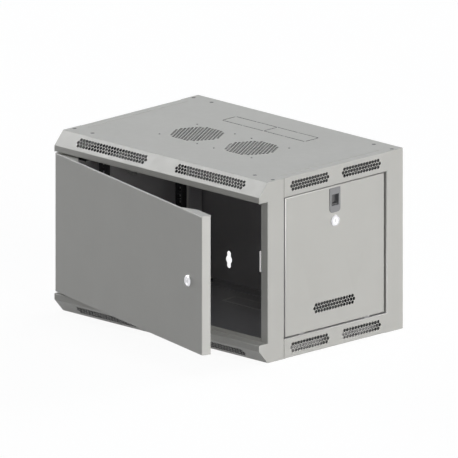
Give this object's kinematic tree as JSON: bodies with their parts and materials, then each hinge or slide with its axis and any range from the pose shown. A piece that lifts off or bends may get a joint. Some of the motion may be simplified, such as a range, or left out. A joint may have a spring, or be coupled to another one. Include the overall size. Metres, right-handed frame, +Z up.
{
  "type": "wall mount network cabinet",
  "caption": "Bevelled sheet-steel wall cabinet for 19 inch equipment, with a hinged solid door, lift-off side panels with latches and locks, rack rails and vents.",
  "frame": {"origin": "middle of the rear wall face, on the plane that lies against the wall", "axes": "+X to the right seen from the front, +Y out of the back to the wall, +Z up"},
  "size_m": [0.573, 0.5394, 0.368],
  "materials": {
    "painted_sheet": "fine-textured light grey powder coat",
    "black_rails": "satin black powder coat",
    "zinc_fasteners": "zinc-plated steel",
    "black_screws": "black oxide steel",
    "zinc_strike": "bright zinc-plated steel",
    "zinc_cams": "zinc-plated steel",
    "lock_chrome": "polished chrome plate",
    "lock_core": "satin nickel plate",
    "latch_plastic": "fine-textured moulded plastic",
    "bolt_plastic": "smooth moulded plastic",
    "bush_plastic": "natural nylon",
    "bumper_rubber": "pale rubber"
  },
  "bodies": {
    "cabinet": {"bottom_cover": "painted_sheet", "bracket_bolts": "zinc_fasteners", "cover_screws_bottom": "black_screws", "cover_screws_top": "black_screws", "depth_bracket_lower_left": "black_rails", "depth_bracket_lower_right": "black_rails", "depth_bracket_upper_left": "black_rails", "depth_bracket_upper_right": "black_rails", "door_strike": "zinc_strike", "frame_bolts": "zinc_fasteners", "front_post_left": "painted_sheet", "front_post_right": "painted_sheet", "hinge_pin_lower": "zinc_fasteners", "hinge_pin_upper": "zinc_fasteners", "rack_rail_front_left": "black_rails", "rack_rail_front_right": "black_rails", "rack_rail_rear_left": "black_rails", "rack_rail_rear_right": "black_rails", "rail_bolts": "zinc_fasteners", "rear_panel": "painted_sheet", "side_frame_left": "painted_sheet", "side_frame_right": "painted_sheet", "strike_screw": "zinc_fasteners", "top_cover": "painted_sheet"},
    "door": {"door_bumpers": "bumper_rubber", "door_lock_housing": "lock_chrome", "door_lock_nut": "zinc_cams", "door_panel": "painted_sheet", "hinge_bush_lower": "bush_plastic", "hinge_bush_upper": "bush_plastic"},
    "door_lock": {"door_lock_cam": "zinc_cams", "door_lock_cam_screw": "zinc_cams", "door_lock_plug": "lock_core"},
    "side_panel_left": {"side_latch_housing_left": "latch_plastic", "side_lock_housing_left": "lock_chrome", "side_lock_nut_left": "zinc_cams", "side_panel_left": "painted_sheet"},
    "side_latch_left": {"side_latch_bolt_left": "bolt_plastic"},
    "side_lock_left": {"side_lock_cam_left": "zinc_cams", "side_lock_cam_screw_left": "zinc_cams", "side_lock_plug_left": "lock_core"},
    "side_panel_right": {"side_latch_housing_right": "latch_plastic", "side_lock_housing_right": "lock_chrome", "side_lock_nut_right": "zinc_cams", "side_panel_right": "painted_sheet"},
    "side_latch_right": {"side_latch_bolt_right": "bolt_plastic"},
    "side_lock_right": {"side_lock_cam_right": "zinc_cams", "side_lock_cam_screw_right": "zinc_cams", "side_lock_plug_right": "lock_core"}
  },
  "joints": [
    {"name": "door_hinge", "type": "hinge", "parent": "cabinet", "child": "door", "pos_m": [-0.275, -0.39, 0], "axis": [0, 0, -1], "range_deg": [-14.5, 165.5]},
    {"name": "door_lock_turn", "type": "hinge", "parent": "door", "child": "door_lock", "pos_m": [0.21567, -0.52723, 0], "axis": [0.2504, 0.9681, 0], "range_deg": [0, 90]},
    {"name": "side_panel_right_tilt", "type": "hinge", "parent": "cabinet", "child": "side_panel_right", "pos_m": [0.2835, -0.19, -0.142], "axis": [0, 1, 0], "range_deg": [0, 25]},
    {"name": "side_latch_right_slide", "type": "slide", "parent": "side_panel_right", "child": "side_latch_right", "axis": [0, 0, 1], "range_m": [0, 0.008]},
    {"name": "side_lock_right_turn", "type": "hinge", "parent": "side_panel_right", "child": "side_lock_right", "pos_m": [0.2825, -0.1875, 0.071], "axis": [-1, 0, 0], "range_deg": [0, 90]},
    {"name": "side_panel_left_tilt", "type": "hinge", "parent": "cabinet", "child": "side_panel_left", "pos_m": [-0.2835, -0.19, -0.142], "axis": [0, -1, 0], "range_deg": [0, 25]},
    {"name": "side_latch_left_slide", "type": "slide", "parent": "side_panel_left", "child": "side_latch_left", "axis": [0, 0, 1], "range_m": [0, 0.008]},
    {"name": "side_lock_left_turn", "type": "hinge", "parent": "side_panel_left", "child": "side_lock_left", "pos_m": [-0.2825, -0.1875, 0.071], "axis": [1, 0, 0], "range_deg": [0, 90]}
  ]
}
